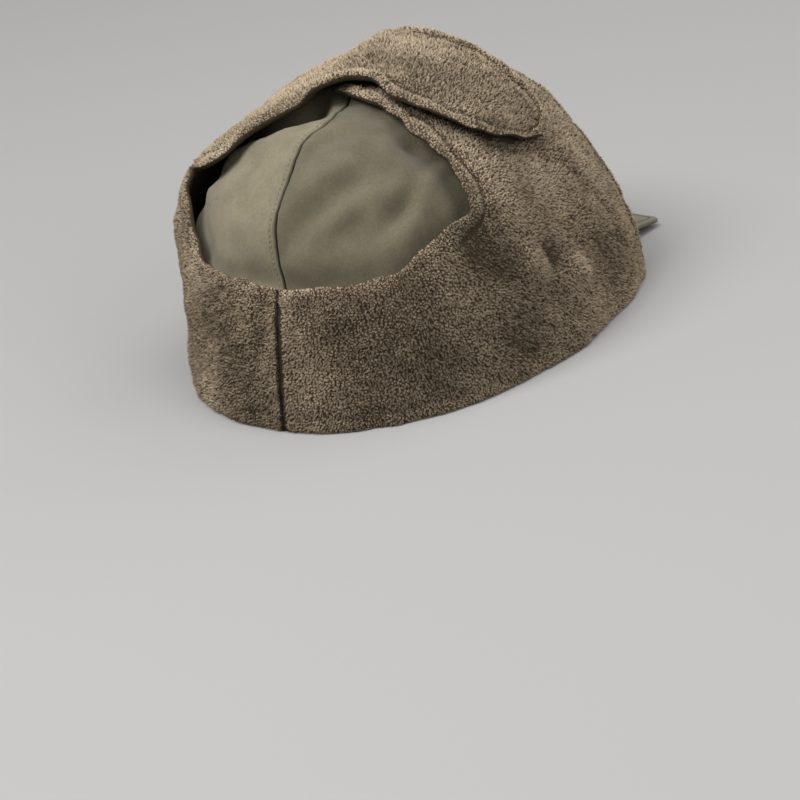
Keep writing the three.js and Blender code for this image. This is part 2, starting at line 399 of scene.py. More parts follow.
# A flap's low and high edge, each as (degrees around from the back, degrees above the rim)
rightStations = table(
    "low high",
    ((0, 0), (0, 30)),
    ((16, 0), (13, 30.6)),
    ((32, 0), (26, 32)),
    ((48, 0), (36, 36)),
    ((66, 0), (44.5, 39.3)),
    ((86, 0), (50.4, 42.2)),
    ((108, 0), (51, 47)),
    ((129, 0), (49.5, 51.5)),
    ((132, 15), (47, 55)),
    ((134, 31), (43, 59.5)),
    ((137, 46), (37, 64)),
    ((143, 59), (28, 69)),
    ((155, 71), (12, 73)),
    ((176, 77), (0, 74.5)),
    ((193, 78), (-9, 75)),
)
leftStations = table(
    "low high",
    ((0, 0), (0, 30)),
    ((16, 0), (11, 31.2)),
    ((32, 0), (21.5, 32)),
    ((48, 0), (29, 34.8)),
    ((66, 0), (39, 39.8)),
    ((86, 0), (49, 42.6)),
    ((108, 0), (55.5, 44.5)),
    ((129, 0), (45, 48)),
    ((132, 15), (39, 52)),
    ((134, 31), (36.5, 57)),
    ((137, 46), (31.5, 62.2)),
    ((143, 59), (23, 67.5)),
    ((157, 71), (11.5, 70.8)),
    ((182, 77), (-8, 73.8)),
    ((210, 75.8), (-24, 72.8)),
    ((228, 70.7), (-38, 66.8)),
    ((238, 64.5), (-52, 61)),
    ((243.5, 58.5), (-65.5, 56)),
    ((247, 54.5), (-80, 53.2)),
    ((252, 51), (-98, 50.8)),
)


# A smooth curve through points, at shares of the way from the first to the last
def stationCurve(points, share):
    before = 2 * points[0] - points[1]
    after = 2 * points[-1] - points[-2]
    padded = np.concatenate([before[None], points, after[None]])
    place = share * (len(points) - 1)
    index = np.minimum(place.astype(int), len(points) - 2)
    weight = (place - index)[:, None]
    back, start, end, ahead = [padded[index + k] for k in range(4)]
    steps = (start - back, end - start, ahead - end)
    backGap, gap, aheadGap = [np.linalg.norm(step, axis=1)[:, None] ** 0.5 for step in steps]
    gap = np.where(gap < 1e-4, 1, gap)
    backGap = np.where(backGap < 1e-4, gap, backGap)
    aheadGap = np.where(aheadGap < 1e-4, gap, aheadGap)
    leaving = (start - back) / backGap - (end - back) / (backGap + gap) + (end - start) / gap
    arriving = (end - start) / gap - (ahead - start) / (gap + aheadGap) + (ahead - end) / aheadGap
    leaving = leaving * gap
    arriving = arriving * gap
    squared = -3 * start + 3 * end - 2 * leaving - arriving
    cubed = 2 * start - 2 * end + leaving + arriving
    return start + leaving * weight + squared * weight**2 + cubed * weight**3


# Directions along a flap's low or high edge, and whether they lie on the rim
def edgeRun(side, stations, edge, share):
    angles = np.array([row[edge] for row in stations], float)
    place = stationCurve(onCap(towards(side, angles[:, 0], angles[:, 1])), share)
    index = np.minimum((share * (len(stations) - 1)).astype(int), len(stations) - 2)
    onRim = (angles[index, 1] == 0) & (angles[index + 1, 1] == 0)
    place[:, 2] = np.where(onRim, 0, np.maximum(place[:, 2], 0))
    return wayTo(place), onRim


# The upper edges of both flaps, up to where the tongues lap
openingEdges = np.concatenate(
    [
        edgeRun(-1, rightStations, "high", np.linspace(0, 0.92, 160))[0],
        edgeRun(1, leftStations, "high", np.linspace(0, 0.62, 160))[0],
    ]
)


# Millimetres along the crown from a direction to the nearest of them
def openingDistance(d):
    nearest = (d.reshape(-1, 3) @ openingEdges.T).max(1).reshape(d.shape[:-1])
    return np.arccos(np.clip(nearest, -1, 1)) * crown["openingRadius"]


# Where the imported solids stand: the part is centred on its box
peakFront = -124
seamX = (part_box("crown_left")[0].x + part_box("crown_right")[1].x) / 2 / millimetre
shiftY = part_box("peak")[0].y / millimetre - peakFront
partShift = np.array([seamX, shiftY, 0.0])
print("part shift", partShift)


def gridFaces(rows, columns, start, flip):
    i, j = np.meshgrid(np.arange(rows - 1), np.arange(columns - 1), indexing="ij")
    a = (start + i * columns + j).ravel()
    quads = np.stack([a, a + columns, a + columns + 1, a + 1], -1)
    return quads[:, ::-1] if flip else quads


def rimFaces(rows, columns):
    outer = np.arange(rows * columns).reshape(rows, columns)
    loop = np.concatenate([outer[0, :-1], outer[:-1, -1], outer[-1, :0:-1], outer[:0:-1, 0]])
    after = np.roll(loop, -1)
    count = rows * columns
    return np.stack([loop, after, after + count, loop + count], -1)


# A mesh from points in millimetres, with an optional value or UV for each point
def meshFrom(name, points, faces, uv=None, values=None):
    mesh = bpy.data.meshes.new(name)
    mesh.vertices.add(len(points))
    mesh.vertices.foreach_set("co", ((points + partShift) * millimetre).ravel())
    mesh.loops.add(faces.size)
    mesh.loops.foreach_set("vertex_index", faces.ravel())
    mesh.polygons.add(len(faces))
    mesh.polygons.foreach_set("loop_start", np.arange(0, faces.size, 4))
    mesh.update(calc_edges=True)
    if uv is not None:
        layer = mesh.uv_layers.new(name="cloth")
        layer.data.foreach_set("uv", uv[faces.ravel()].astype(np.float32).ravel())
    for key, value in (values or {}).items():
        attribute = mesh.attributes.new(key, "FLOAT", "POINT")
        attribute.data.foreach_set("value", value.astype(np.float32).ravel())
    mesh.validate()
    return mesh


def objectFrom(name, mesh, material=None):
    obj = bpy.data.objects.new(name, mesh)
    bpy.context.scene.collection.objects.link(obj)
    if material is not None:
        mesh.materials.clear()
        mesh.materials.append(material)
    return obj


def tidyMesh(mesh):
    work = bmesh.new()
    work.from_mesh(mesh)
    bmesh.ops.remove_doubles(work, verts=work.verts, dist=0.00001)
    if work.calc_volume(signed=True) < 0:
        bmesh.ops.reverse_faces(work, faces=work.faces)
    for face in work.faces:
        face.smooth = True
    work.to_mesh(mesh)
    work.free()


# A closed wall between an outer and an inner grid of points
def wall(name, outer, inner, uv=None, values=None):
    rows, columns = outer.shape[:2]
    count = rows * columns
    points = np.concatenate([outer.reshape(-1, 3), inner.reshape(-1, 3)])
    faces = np.concatenate(
        [
            gridFaces(rows, columns, 0, False),
            gridFaces(rows, columns, count, True),
            rimFaces(rows, columns),
        ]
    )
    both = None if uv is None else np.concatenate([uv.reshape(-1, 2)] * 2)
    extra = {k: np.concatenate([v.ravel()] * 2) for k, v in (values or {}).items()}
    mesh = meshFrom(name, points, faces, both, extra)
    tidyMesh(mesh)
    return mesh


# Every finished piece rides on the one body, and may stand for a solid
def finishPiece(obj, nodeName=None):
    if nodeName is not None:
        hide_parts(nodeName)
    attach(obj, "root")
    return obj


# Node helpers, for shaders and geometry alike: an input is a value or another node's socket
def feed(tree, made, inputs):
    for key, value in inputs.items():
        if isinstance(value, bpy.types.NodeSocket):
            tree.links.new(value, made.inputs[key])
        else:
            made.inputs[key].default_value = value


# Settings come before inputs, because they decide which inputs a node has
def node(tree, kind, inputs=None, **settings):
    made = tree.nodes.new(kind)
    for key, value in settings.items():
        setattr(made, key, value)
    feed(tree, made, inputs or {})
    return made


def maths(tree, operation, *values):
    return node(tree, "ShaderNodeMath", dict(enumerate(values)), operation=operation).outputs[0]


def vectors(tree, operation, *values):
    made = node(tree, "ShaderNodeVectorMath", dict(enumerate(values)), operation=operation)
    return made.outputs["Value" if operation in ("DOT_PRODUCT", "LENGTH") else "Vector"]


def scaled(tree, vector, scale):
    inputs = {0: vector, "Scale": scale}
    return node(tree, "ShaderNodeVectorMath", inputs, operation="SCALE").outputs["Vector"]


def noise(tree, place, scale, detail=2.0, roughness=0.5, output="Fac"):
    inputs = {"Vector": place, "Scale": scale, "Detail": detail, "Roughness": roughness}
    return node(tree, "ShaderNodeTexNoise", inputs, noise_dimensions="3D").outputs[output]


def material(name):
    made = bpy.data.materials.new(name)
    made.use_nodes = True
    return made, made.node_tree, made.node_tree.nodes["Principled BSDF"]


def rampColors(tree, factor, stops):
    made = node(tree, "ShaderNodeValToRGB", {"Fac": factor})
    ramp = made.color_ramp
    while len(ramp.elements) < len(stops):
        ramp.elements.new(0.5)
    for element, (place, color) in zip(ramp.elements, stops):
        element.position = place
        element.color = (*color, 1)
    return made.outputs["Color"]


def raisedBy(tree, height, strength, distance):
    inputs = {"Strength": strength, "Distance": distance, "Height": height}
    return node(tree, "ShaderNodeBump", inputs).outputs["Normal"]


# Painted shade: where a mesh's seamShade value is high, its colour turns towards a near-black, for
# the shade in seam gaps, stitch dips and along edges
def paintSeamShade(tree, color, dark):
    seam = node(tree, "ShaderNodeAttribute", attribute_name="seamShade").outputs["Fac"]
    inputs = {"Factor": maths(tree, "MULTIPLY", seam, 0.85), "A": color, "B": (*dark, 1)}
    return node(tree, "ShaderNodeMix", inputs, data_type="RGBA").outputs["Result"]


cotton = {
    # The two crown halves are one cloth in a lit and a shaded copy: painted light makes the left
    # half's colours lighter, painted shade makes the right half's darker
    "litLeftDark": (0.087, 0.075, 0.046),
    "litLeftLight": (0.183, 0.158, 0.104),
    "shadedRightDark": (0.051, 0.044, 0.026),
    "shadedRightLight": (0.11, 0.095, 0.061),
    "peakDark": (0.10, 0.087, 0.057),
    "peakLight": (0.148, 0.13, 0.088),
    # near-black for the painted shade in the seam's gap
    "seamShadeDark": (0.012, 0.011, 0.008),
    "darkest": 0.25,  # the weave's shade at the dark and at the light color
    "lightest": 0.8,
    "ribPitch": 0.95,
    "yarn": 0.35,  # the crossing yarns' share beside the ribs
    "weaveShade": 0.15,
    "slubShade": 0.45,
    "mottleShade": 0.6,
    "slubScale": 900,  # scales are per metre
    "mottleScale": 60,
    "weaveHeight": 0.35,
    "slubHeight": 0.8,
    "bumpStrength": 0.6,
    "bumpMetres": 0.00028,
    # The thread is olive, painted lighter than the cloth for the sheen the stitches catch
    "threadDark": (0.13, 0.118, 0.08),
    "threadLight": (0.25, 0.23, 0.165),
    "fibreScale": 2600,
}


def addSockets(tree, way, rows):
    for label, kind, value in rows:
        kind = "NodeSocket" + kind
        socket = tree.interface.new_socket(name=label, in_out=way, socket_type=kind)
        if value is not None:
            socket.default_value = value


# Twill and slubs of a cotton cloth, from a UV map in millimetres
def makeWeaveGroup():
    tree = bpy.data.node_groups.new("twillWeave", "ShaderNodeTree")
    places = [("Cloth Place", "Vector", None), ("Body Place", "Vector", None)]
    addSockets(tree, "INPUT", places + [("Rib Pitch", "Float", cotton["ribPitch"])])
    addSockets(tree, "OUTPUT", [("Shade", "Float", None), ("Height", "Float", None)])
    given = node(tree, "NodeGroupInput").outputs
    cloth = node(tree, "ShaderNodeSeparateXYZ", {0: given["Cloth Place"]}).outputs

    def waves(operation, perPitch):
        diagonal = maths(tree, operation, cloth["X"], cloth["Y"])
        turns = maths(tree, "DIVIDE", diagonal, given["Rib Pitch"])
        return maths(tree, "SINE", maths(tree, "MULTIPLY", turns, perPitch * 2 * math.pi))

    weave = maths(tree, "MULTIPLY_ADD", waves("SUBTRACT", 2), cotton["yarn"], waves("ADD", 1))
    slub = noise(tree, given["Body Place"], cotton["slubScale"])
    mottle = noise(tree, given["Body Place"], cotton["mottleScale"], 3, 0.6)
    shade = maths(tree, "MULTIPLY", weave, cotton["weaveShade"])
    shade = maths(tree, "MULTIPLY_ADD", slub, cotton["slubShade"], shade)
    shade = maths(tree, "MULTIPLY_ADD", mottle, cotton["mottleShade"], shade)
    height = maths(tree, "MULTIPLY", weave, cotton["weaveHeight"])
    height = maths(tree, "MULTIPLY_ADD", slub, cotton["slubHeight"], height)
    node(tree, "NodeGroupOutput", {"Shade": shade, "Height": height})
    return tree


weaveGroup = makeWeaveGroup()


def cottonMaterial(name, dark, light):
    made, tree, shader = material(name)
    inputs = {
        "Cloth Place": node(tree, "ShaderNodeUVMap", uv_map="cloth").outputs["UV"],
        "Body Place": node(tree, "ShaderNodeTexCoord").outputs["Object"],
    }
    weave = node(tree, "ShaderNodeGroup", inputs, node_tree=weaveGroup).outputs
    stops = [(cotton["darkest"], cotton[dark]), (cotton["lightest"], cotton[light])]
    color = rampColors(tree, weave["Shade"], stops)
    inputs = {
        "Base Color": paintSeamShade(tree, color, cotton["seamShadeDark"]),
        "Normal": raisedBy(tree, weave["Height"], cotton["bumpStrength"], cotton["bumpMetres"]),
        "Roughness": 0.82,
        "Specular IOR Level": 0.25,
        "Sheen Weight": 0.12,
        "Sheen Roughness": 0.45,
    }
    feed(tree, shader, inputs)
    return made


def threadMaterial():
    made, tree, shader = material("oliveThreadSheen")
    place = node(tree, "ShaderNodeTexCoord").outputs["Object"]
    fibre = noise(tree, place, cotton["fibreScale"], 2, 0.6)
    # Painted sheen: the thread's lighter colours
    color = rampColors(tree, fibre, [(0.3, cotton["threadDark"]), (0.7, cotton["threadLight"])])
    feed(tree, shader, {"Base Color": color, "Roughness": 0.6})
    return made


pileColors = {
    # The backing is far darker than the tufts: painted shade deep in the pile, which shows in the
    # gaps between tufts
    "backingDark": (0.022, 0.016, 0.010),
    "backingLight": (0.065, 0.048, 0.031),
    # near-black for the painted shade in the nape seam's gap
    "seamShadeDark": (0.006, 0.004, 0.003),
    "fineScale": 900,
    "patchScale": 45,
    "fineShade": 0.6,
    "bumpStrength": 0.9,
    "bumpMetres": 0.0008,
    "tuftDark": (0.055, 0.042, 0.027),
    "tuftMiddle": (0.315, 0.248, 0.171),
    "tuftLight": (0.57, 0.462, 0.338),
    "middlePlace": 0.45,
    "rootLight": 0.42,  # multiplies a tuft's color at its root, and the gain comes on top at its tip
    "tipGain": 0.65,
}


def pileMaterial():
    made, tree, shader = material("brownPileBacking")
    place = node(tree, "ShaderNodeTexCoord").outputs["Object"]
    fine = noise(tree, place, pileColors["fineScale"], 3, 0.7)
    patch = noise(tree, place, pileColors["patchScale"])
    patchShade = maths(tree, "MULTIPLY", patch, 1 - pileColors["fineShade"])
    value = maths(tree, "MULTIPLY_ADD", fine, pileColors["fineShade"], patchShade)
    # Painted shade: the backing's dark colours
    stops = [(0.3, pileColors["backingDark"]), (0.7, pileColors["backingLight"])]
    color = rampColors(tree, value, stops)
    inputs = {
        "Base Color": paintSeamShade(tree, color, pileColors["seamShadeDark"]),
        "Normal": raisedBy(tree, fine, pileColors["bumpStrength"], pileColors["bumpMetres"]),
        "Roughness": 1.0,
        "Specular IOR Level": 0.1,
    }
    feed(tree, shader, inputs)
    return made


# The tufts' own UV: across is each tuft's shade, up runs from its root to its tip
def tuftMaterial():
    made, tree, shader = material("brownPileTufts")
    uv = node(tree, "ShaderNodeUVMap", uv_map="OFBake").outputs["UV"]
    parts = node(tree, "ShaderNodeSeparateXYZ", {0: uv}).outputs
    stops = [
        (0.0, pileColors["tuftDark"]),
        (pileColors["middlePlace"], pileColors["tuftMiddle"]),
        (1.0, pileColors["tuftLight"]),
    ]
    tip = rampColors(tree, parts["X"], stops)
    rise = maths(tree, "MULTIPLY_ADD", parts["Y"], pileColors["tipGain"], pileColors["rootLight"])
    inputs = {"Factor": 1.0, "A": tip, "B": rise}
    color = node(tree, "ShaderNodeMix", inputs, data_type="RGBA", blend_type="MULTIPLY")
    inputs = {
        "Base Color": color.outputs["Result"],
        "Roughness": 1.0,
        "Specular IOR Level": 0.05,
    }
    feed(tree, shader, inputs)
    return made


print("materials")
# Painted light on the left half's cotton and painted shade on the right half's
crownCottons = {
    1: cottonMaterial("oliveCottonLeftLit", "litLeftDark", "litLeftLight"),
    -1: cottonMaterial("oliveCottonRightShaded", "shadedRightDark", "shadedRightLight"),
}
peakCotton = cottonMaterial("olivePeakCotton", "peakDark", "peakLight")
pileBacking = pileMaterial()
pileTufts = tuftMaterial()
oliveThreadSheen = threadMaterial()


# Geometry Nodes: a tree with named inputs, run once on an object and kept as a plain mesh
def newTree(name, sockets):
    tree = bpy.data.node_groups.new(name, "GeometryNodeTree")
    shape = [("Geometry", "Geometry", None)]
    addSockets(tree, "INPUT", shape + sockets)
    addSockets(tree, "OUTPUT", shape)
    return tree, node(tree, "NodeGroupInput").outputs, node(tree, "NodeGroupOutput")


def namedValue(tree, name):
    made = node(tree, "GeometryNodeInputNamedAttribute", {"Name": name}, data_type="FLOAT")
    return made.outputs["Attribute"]


def storeValue(tree, geometry, name, value, kind, domain):
    inputs = {"Geometry": geometry, "Name": name, "Value": value}
    made = node(tree, "GeometryNodeStoreNamedAttribute", inputs, data_type=kind, domain=domain)
    return made.outputs[0]


def paintTo(tree, end, geometry, paint):
    painted = node(tree, "GeometryNodeSetMaterial", {"Geometry": geometry, "Material": paint})
    tree.links.new(painted.outputs[0], end.inputs[0])


# Values on a mesh that only the trees read
treeValues = ("furAmount", "furLength", "furTone", "tuftShade", "rootToTip")


def bake(obj, tree, settings, name):
    modifier = obj.modifiers.new("build", "NODES")
    modifier.node_group = tree
    for item in tree.interface.items_tree:
        if item.item_type == "SOCKET" and item.in_out == "INPUT" and item.name in settings:
            modifier[item.identifier] = settings[item.name]
    graph = bpy.context.evaluated_depsgraph_get()
    mesh = bpy.data.meshes.new_from_object(obj.evaluated_get(graph))
    mesh.name = name
    made = objectFrom(name, mesh)
    bpy.data.objects.remove(obj)
    for label in [attribute.name for attribute in mesh.attributes]:
        if label in treeValues:
            mesh.attributes.remove(mesh.attributes[label])
    return made


stitches = {
    "every": 2.3,
    "length": 1.55,
    "thickness": 0.4,
    "fromSeam": 2.0,
    "dip": 0.45,
    "dipWidth": 0.5,
    # painted shade along the stitch line's dip
    "shade": 0.6,
    "shadeWidth": 0.4,
    "stand": 0.08,
}


def makeStitchTree():
    sockets = [
        ("Stitch Spacing", "Float", stitches["every"] * millimetre),
        ("Stitch Length", "Float", stitches["length"] * millimetre),
        ("Thread Thickness", "Float", stitches["thickness"] * millimetre),
        ("Material", "Material", None),
    ]
    tree, given, end = newTree("runStitches", sockets)
    line = node(tree, "GeometryNodeMeshToCurve", {"Mesh": given["Geometry"]}).outputs[0]
    inputs = {"Curve": line, "Length": given["Stitch Spacing"]}
    points = node(tree, "GeometryNodeCurveToPoints", inputs, mode="LENGTH").outputs
    ball = node(tree, "GeometryNodeMeshUVSphere", {"Segments": 6, "Rings": 4, "Radius": 0.5})
    inputs = {"Geometry": ball.outputs["Mesh"], "Shade Smooth": True}
    smooth = node(tree, "GeometryNodeSetShadeSmooth", inputs).outputs[0]
    thickness = given["Thread Thickness"]
    inputs = {"X": given["Stitch Length"], "Y": thickness, "Z": thickness}
    size = node(tree, "ShaderNodeCombineXYZ", inputs).outputs[0]
    turn = node(tree, "FunctionNodeAlignRotationToVector", {"Vector": points["Tangent"]}, axis="X")
    inputs = {
        "Points": points["Points"],
        "Instance": smooth,
        "Rotation": turn.outputs["Rotation"],
        "Scale": size,
    }
    placed = node(tree, "GeometryNodeInstanceOnPoints", inputs).outputs[0]
    real = node(tree, "GeometryNodeRealizeInstances", {"Geometry": placed}).outputs[0]
    paintTo(tree, end, real, given["Material"])
    return tree


stitchTree = makeStitchTree()


def sewLine(name, points):
    mesh = bpy.data.meshes.new(name + "_path")
    places = (points + partShift) * millimetre
    edges = [(i, i + 1) for i in range(len(points) - 1)]
    mesh.from_pydata([tuple(place) for place in places], edges, [])
    path = objectFrom(name + "_path", mesh)
    return finishPiece(bake(path, stitchTree, {"Material": oliveThreadSheen}, name))


# The crown: how far its cloth lies off the plain dome
def crownSurface(d, side):
    base = onCap(d)
    lift = bumps(d, crownSwells, "lift") - crown["foldShare"] * foldDepth(base)
    lift += creaseLift(d, crownCreases)
    lift += uneven(base, crownWaves[:1]) * ease(base[..., 2] / crown["waveFade"])
    lift += uneven(base, crownWaves[1:])
    lift -= crown["edgeSink"] * bell(openingDistance(d), crown["edgeSinkWidth"])
    fromSeam = np.abs(base[..., 0])
    lift -= crown["seamDip"] * np.exp(-((fromSeam / crown["seamDipWidth"]) ** 1.5))
    if side > 0:
        lift += crown["lapStep"] * ease((crown["lapWidth"] - fromSeam) / crown["lapSlope"])
        lift -= stitches["dip"] * bell(fromSeam - stitches["fromSeam"], stitches["dipWidth"])
    # The stitched seam is puckered a little
    alongSeam = base[..., 2] - base[..., 1]
    turns = alongSeam * 2 * math.pi / crown["puckerEvery"]
    pucker = np.sin(turns + 1.5 * np.sin(alongSeam / crown["puckerDrift"]))
    near = np.exp(-((fromSeam - crown["puckerFromSeam"]) ** 2) / crown["puckerSpread"])
    return lift + crown["puckerDepth"] * pucker * near


# How far the centre seam has wandered sideways at a place
def wander(point):
    rise = np.degrees(np.arctan2(point[..., 2], point[..., 1]))
    rows = [row["rise"] for row in seamWander]
    shifts = [row["shift"] for row in seamWander]
    fine = np.linspace(0, 180, 361)
    count = crown["wanderSmoothing"]
    soft = np.convolve(np.interp(fine, rows, shifts), np.ones(count) / count, "same")
    return np.interp(rise, fine, soft) * bell(point[..., 0], crown["wanderWidth"])


def makeCrownHalf(side, name, nodeName):
    # Columns crowd towards the seam, at the back and the front
    run = np.linspace(0, 1, crown["around"] + 1)
    around = 180 * (run - crown["crowding"] * np.sin(2 * math.pi * run))
    rise = np.linspace(0, 90, crown["rise"] + 1)
    aroundGrid, riseGrid = np.meshgrid(around, rise, indexing="ij")
    d = towards(side, aroundGrid, riseGrid)
    lift = crownSurface(d, side)
    grids = []
    for depth in (0, crown["wall"]):
        point = onCap(d, lift - depth)
        point[..., 0] = side * np.maximum(side * point[..., 0], crown["seamGap"] / 2)
        point[..., 0] += wander(point)
        grids.append(point)
    steps = np.linalg.norm(np.diff(grids[0], axis=1), axis=-1)
    up = np.concatenate([np.zeros((len(around), 1)), np.cumsum(steps, 1)], 1)
    across = np.radians(aroundGrid) * crown["clothRadius"]
    fromSeam = np.abs(onCap(d)[..., 0])
    # Painted shade in the seam's gap and, on the left half, along the stitch line's dip
    shade = bell(fromSeam, crown["seamShadeWidth"])
    if side > 0:
        shade += stitches["shade"] * bell(fromSeam - stitches["fromSeam"], stitches["shadeWidth"])
    mesh = wall(name, *grids, uv=np.stack([across, up], -1), values={"seamShade": shade})
    return finishPiece(objectFrom(name, mesh, crownCottons[side]), nodeName)


# Stitches along the left half's side of the seam, from the back over the top to the front
def seamStitchLine():
    rise = np.concatenate([np.linspace(8, 89, 240), np.linspace(91, 172, 240)])
    back = np.where(rise < 90, rise, 180 - rise)
    around = np.where(rise < 90, 0, 180)
    base = onCap(towards(1, around, back))
    base[:, 0] = stitches["fromSeam"]
    d = wayTo(base)
    point = onCap(d, crownSurface(d, 1) + stitches["stand"])
    point[:, 0] += wander(point)
    return point


print("crown")
crownLeft = makeCrownHalf(1, "crown_left_cloth", "crown_left")
crownRight = makeCrownHalf(-1, "crown_right_cloth", "crown_right")
sewLine("crown_seam_stitches", seamStitchLine())


# The flaps: how far each stands off the plain dome, the left one with its tongue on top
def flapLift(side, d):
    lift = pile["layGap"] + bumps(d, standOffs, "lift")
    if side < 0:
        return lift
    x = onCap(d, lift)[..., 0]
    lap = ease((pile["lapStart"] - x) / (pile["lapStart"] - pile["lapEnd"]))
    onTop = ease((d[..., 2] - pile["bandTop"]) / pile["bandTopOver"])
    return lift + lap * onTop * (pile["thickness"] + pile["layGap"])


# A share that rises in a quarter round from an edge to the whole
def roundEdge(distance, atEdge, over=pile["edgeRound"]):
    bulge = np.sqrt(1 - (1 - clamp01(distance / over)) ** 2)
    return mix(atEdge, 1, bulge)


def makeFlapGrid(side, stations):
    # Rows are evenly spaced along the flap's middle, and closer together at its two ends
    trial = np.linspace(0, 1, 1500)
    low, _ = edgeRun(side, stations, "low", trial)
    high, _ = edgeRun(side, stations, "high", trial)
    path = onCap(unit(low + high))
    walked = np.concatenate([[0], np.cumsum(np.linalg.norm(np.diff(path, axis=0), axis=1))])
    total = walked[-1]
    inner = np.arange(pile["evenFrom"], total - pile["evenTo"], pile["alongStep"])
    stops = np.concatenate([pile["seamSteps"], inner, total - np.array(pile["endSteps"])[::-1]])
    share = np.interp(stops, walked, trial)
    low, onRim = edgeRun(side, stations, "low", share)
    high, _ = edgeRun(side, stations, "high", share)
    width = np.linalg.norm(onCap(low) - onCap(high), axis=1)
    arc = np.arccos(np.clip((low * high).sum(1), -1, 1))
    edge = np.array(pile["edgeSteps"])
    near = np.minimum(edge / width[:, None], pile["edgeShare"] * edge / edge[-1])
    inside = near[:, -1:]
    between = np.linspace(0, 1, pile["acrossSteps"] + 1)[1:-1]
    places = np.concatenate([near, mix(inside, 1 - inside, between), 1 - near[:, ::-1]], 1)
    lowPart = np.sin((1 - places) * arc[:, None])[..., None] * low[:, None]
    highPart = np.sin(places * arc[:, None])[..., None] * high[:, None]
    d = unit(lowPart + highPart)
    onRim = np.broadcast_to(onRim[:, None], places.shape)
    fromLow = places * width[:, None]
    return {
        "way": d,
        "flat": onCap(d),
        "onRim": onRim,
        "fromLow": fromLow,
        "fromFreeLow": np.where(onRim, pile["farOff"], fromLow),
        "fromHigh": (1 - places) * width[:, None],
        "fromSeam": np.broadcast_to(stops[:, None], places.shape),
        "toEnd": np.broadcast_to((total - stops)[:, None], places.shape),
    }


# The least of several distances, with its corners rounded over a few millimetres
def softLeast(values, soft):
    stack = np.stack(values)
    least = stack.min(0)
    return least - soft * np.log(np.exp(-(stack - least) / soft).sum(0))


# The stitched lines, and the roll that stands up beside them
def addGrooves(side, flap):
    flat, fromLow, toEnd = flap["flat"], flap["fromLow"], flap["toEnd"]
    fromEdge = softLeast([flap["fromFreeLow"], flap["fromHigh"], toEnd], pile["cornerSoft"])
    place = pile["grooveFromEdge"] + drift(flat, "groovePlace")
    amount = clamp01(pile["grooveAmount"] + drift(flat, "grooveAmount"))
    # Along the nape band's top the stitching is lost in the pile
    past = (flap["fromSeam"] - pile["napeFrom"]) / pile["napeOver"]
    napeFade = mix(pile["napeShare"], 1, ease(past))
    flap["groove"] = bell(fromEdge - place, pile["grooveWidth"]) * amount * napeFade
    inLap = ease((pile["tongueStart"] - flat[..., 0]) / pile["tongueOver"])
    inLap = inLap * ease((flap["way"][..., 2] - pile["tongueTop"]) / pile["tongueTopOver"])
    flap["second"] = 0 * flap["groove"]
    if side > 0:
        # The tongue's front edge is pressed into a second, softer line
        secondPlace = pile["secondFromEdge"] + drift(flat, "secondPlace")
        line = bell(fromLow - secondPlace, pile["secondWidth"])
        flap["second"] = line * inLap * ease((toEnd - pile["secondEnd"]) / pile["secondEndOver"])
    rimLine = bell(fromLow - pile["rimGrooveFromEdge"], pile["rimGrooveWidth"])
    flap["rimGroove"] = np.where(flap["onRim"], rimLine, 0) * pile["rimGroove"]
    roll = pile["roll"] * bell(fromEdge - pile["rollFromEdge"], pile["rollWidth"])
    sunk = pile["sink"] * bell(fromEdge - place - pile["sinkPastGroove"], pile["sinkWidth"])
    flap["roll"] = (roll - sunk) * napeFade
    flap["inLap"] = inLap
    flap["fromEdge"] = fromEdge
    flap["folds"] = creaseLift(flap["way"], pileCreases)


# The flap keeps its whole thickness but at the edges
def thicknessShare(flap):
    rimShare = roundEdge(flap["fromLow"], pile["rimEdge"])
    lowShare = roundEdge(flap["fromLow"], pile["rolledEdge"])
    return np.minimum.reduce(
        [
            np.where(flap["onRim"], rimShare, lowShare),
            roundEdge(flap["fromHigh"], pile["rolledEdge"]),
            roundEdge(flap["toEnd"], pile["rolledEdge"]),
            roundEdge(flap["fromSeam"], pile["seamEdge"], pile["seamRound"]),
        ]
    )


# The nape band's seam leans to the wearer's right, more so higher up
def seamLean(point):
    reach = bell(point[..., 0], pile["leanWidth"]) * (point[..., 1] > pile["leanBehind"])
    share = clamp01(point[..., 2] / pile["leanHeight"])
    amount = mix(pile["leanBelow"], pile["leanAbove"], share)
    return amount * reach * ease((pile["leanTop"] - point[..., 2]) / pile["leanTopOver"])


# The grids of points on the flap's upper and under face
def flapFaces(side, flap):
    d, flat, fromHigh = flap["way"], flap["flat"], flap["fromHigh"]
    shares = thicknessShare(flap)
    middle = flapLift(side, d) + pile["thickness"] / 2
    half = pile["thickness"] / 2 * shares
    relief = uneven(flat, pileWaves) - bumps(d, pileDents, "depth") + flap["roll"] + flap["folds"]
    lines = pile["grooveDepth"] * flap["groove"] + pile["secondDepth"] * flap["second"]
    top = middle + half - pile["tuftStand"] * shares
    top += shares * relief
    top -= shares * (lines + flap["rimGroove"])
    under = middle - half + pile["underGap"]
    top = np.maximum(top, under + pile["leastThickness"] * shares)
    # The tongue's edge stands up a little from what it laps over, and every edge is a little wavy
    stand = 0
    if side > 0:
        standing = ease(1 - fromHigh / pile["standWidth"]) * flap["inLap"]
        standing = standing * ease(flap["toEnd"] / pile["standEnd"])
        stand = pile["stand"] * standing * (1 + drift(flat, "stand"))
    edges = np.exp(-fromHigh / pile["rippleWidth"])
    edges = edges - np.exp(-flap["fromFreeLow"] / pile["rippleWidth"])
    ripple = drift(flat, "ripple") * (edges * ease(flap["fromSeam"] / pile["rippleFromSeam"]))
    across = unit(np.gradient(flat, axis=1))
    grids = []
    for lift in (top + stand, under + stand):
        point = onCap(d, lift) + across * ripple[..., None]
        kept = side * np.maximum(side * point[..., 0], crown["seamGap"] / 2)
        point[..., 0] = np.where(flap["fromSeam"] < pile["edgeRound"], kept, point[..., 0])
        point[..., 2] = np.maximum(point[..., 2], 0)
        point[..., 0] -= seamLean(point)
        grids.append(point)
    return grids


